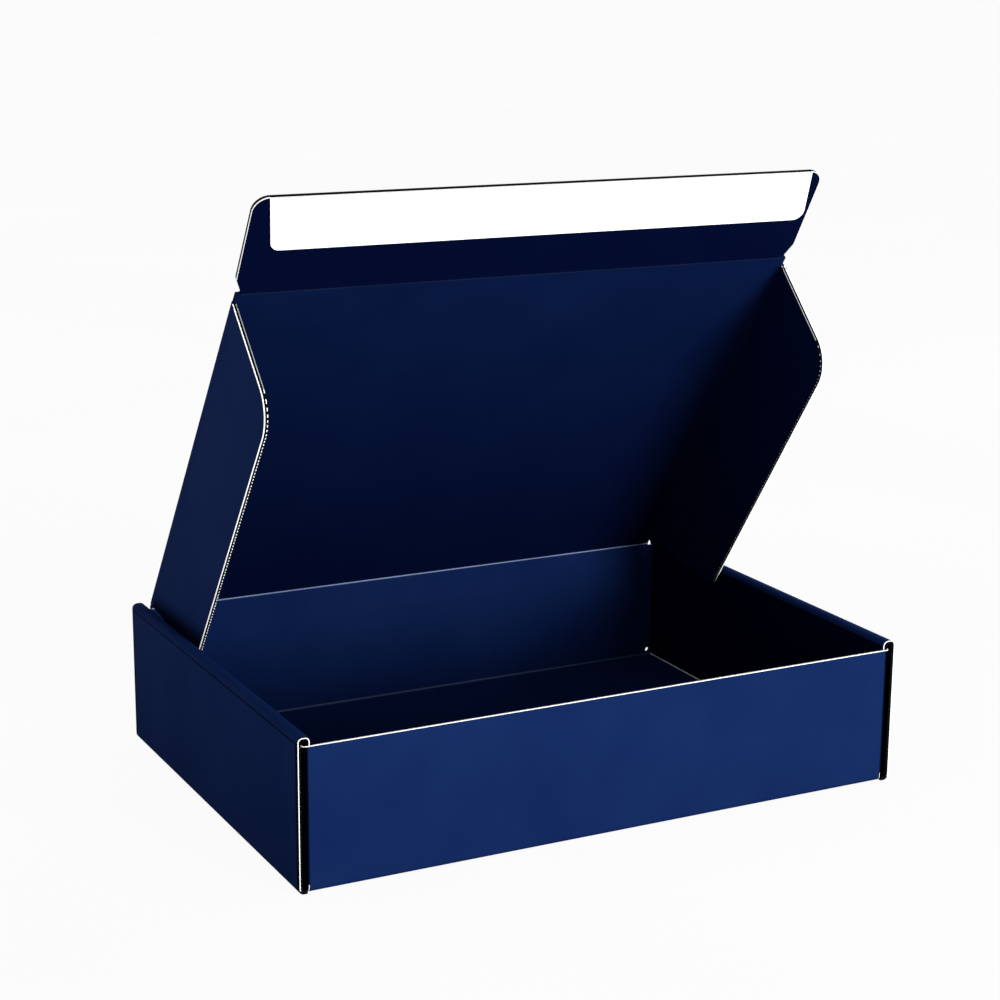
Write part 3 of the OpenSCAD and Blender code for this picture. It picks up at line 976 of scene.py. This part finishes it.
def makeFloor():
    mesh = bpy.data.meshes.new("floor")
    half = stage["half"]
    corners = [(-half, -half), (half, -half), (half, half), (-half, half)]
    mesh.from_pydata([(x, y, -stage["drop"]) for x, y in corners], [], [(0, 1, 2, 3)])
    material, tree, shader, coords = newMaterial("floorPaper")
    fibre = useGroup(tree, fibreGroup, {
        "Vector": coords, "Fibre Scale": stage["fibreScale"], "Mottle Scale": stage["mottleScale"]})
    tone = mixed(tree, fibre.outputs["Mottle"], stage["darker"], stage["lighter"])
    tree.links.new(tone, shader.inputs["Emission Color"])
    gaps = []
    for axisName, halfSize in (("X", boxHalf), ("Y", depthHalf)):
        spread = calc(tree, "ABSOLUTE", axisOf(tree, coords, axisName))
        gaps.append(calc(tree, "MAXIMUM", calc(tree, "SUBTRACT", spread, halfSize * mm), 0.0))
    squares = calc(tree, "MULTIPLY_ADD", gaps[0], gaps[0], calc(tree, "POWER", gaps[1], 2.0))
    away = calc(tree, "SQRT", squares)
    # For other rays the glow dims near the box, a painted shade of the floor round it; camera rays
    # see an even glow
    bounce = ramp(tree, away, 0, stage["shadeReach"], stage["nearBounce"], stage["bounce"])
    seen = addNode(tree, "ShaderNodeLightPath").outputs["Is Camera Ray"]
    tree.links.new(choose(tree, seen, stage["glow"], bounce), shader.inputs["Emission Strength"])
    shader.inputs["Base Color"].default_value = (stage["shade"],) * 3 + (1,)
    shader.inputs["Roughness"].default_value = stage["rough"]
    shader.inputs["Specular IOR Level"].default_value = 0.0
    mesh.materials.append(material)
    floor = addObject("floor", mesh)


makeFloor()

world = bpy.data.worlds.new("studio")
bpy.context.scene.world = world
world.use_nodes = True
worldTree = world.node_tree
background = worldTree.nodes["Background"]
background.inputs["Color"].default_value = (1, 1, 1, 1)
rays = addNode(worldTree, "ShaderNodeLightPath").outputs["Is Camera Ray"]
strength = calc(worldTree, "MULTIPLY_ADD", rays, 1.0 - stage["ambient"], stage["ambient"])
worldTree.links.new(strength, background.inputs["Strength"])

# Soft key light low at the front, and a weak light from the right rear
studioLights = [
    {"name": "keyLight", "place": (0.52, -1.40, 0.34), "aim": (0, 0, 0.06),
     "size": (0.6, 0.4), "power": 32.0},
    {"name": "rimLight", "place": (1.2, 0.5, 0.9), "aim": (0, 0, 0.05),
     "size": (0.6, 0.6), "power": 6.4},
]


def turnTo(forward, roll=0.0):
    right = forward.cross(worldZ).normalized()
    up = right.cross(forward)
    rolledRight = right * math.cos(roll) + up * math.sin(roll)
    rolledUp = up * math.cos(roll) - right * math.sin(roll)
    return Matrix((rolledRight, rolledUp, -forward)).transposed().to_4x4()


for spec in studioLights:
    lamp = bpy.data.lights.new(spec["name"], "AREA")
    lamp.shape = "RECTANGLE"
    lamp.size, lamp.size_y = spec["size"]
    lamp.energy = spec["power"]
    holder = addObject(spec["name"], lamp)
    forward = (Vector(spec["aim"]) - Vector(spec["place"])).normalized()
    holder.matrix_world = Matrix.Translation(spec["place"]) @ turnTo(forward)

# Camera fitted to the photograph's viewing angle
photoView = {"place": (-393.63, -754.40, 320.60), "azimuth": 27.393, "elevation": 14.082,
             "roll": 0.45, "focal": 2241.6, "imageSize": 1000, "sensor": 36.0, "nearest": 0.01}


def makeCamera():
    azimuth = math.radians(photoView["azimuth"])
    elevation = math.radians(photoView["elevation"])
    forward = Vector((math.sin(azimuth) * math.cos(elevation),
                      math.cos(azimuth) * math.cos(elevation), -math.sin(elevation)))
    lens = bpy.data.cameras.new("photoCamera")
    lens.sensor_width = photoView["sensor"]
    lens.lens = photoView["focal"] * photoView["sensor"] / photoView["imageSize"]
    lens.clip_start = photoView["nearest"]
    camera = addObject("photoCamera", lens)
    spot = Vector(photoView["place"]) * mm
    turn = turnTo(forward, math.radians(photoView["roll"]))
    camera.matrix_world = Matrix.Translation(spot) @ turn
    bpy.context.scene.camera = camera


makeCamera()
bpy.context.scene.view_settings.view_transform = "Standard"
bpy.context.scene.view_settings.look = "None"
print("camera and light set")
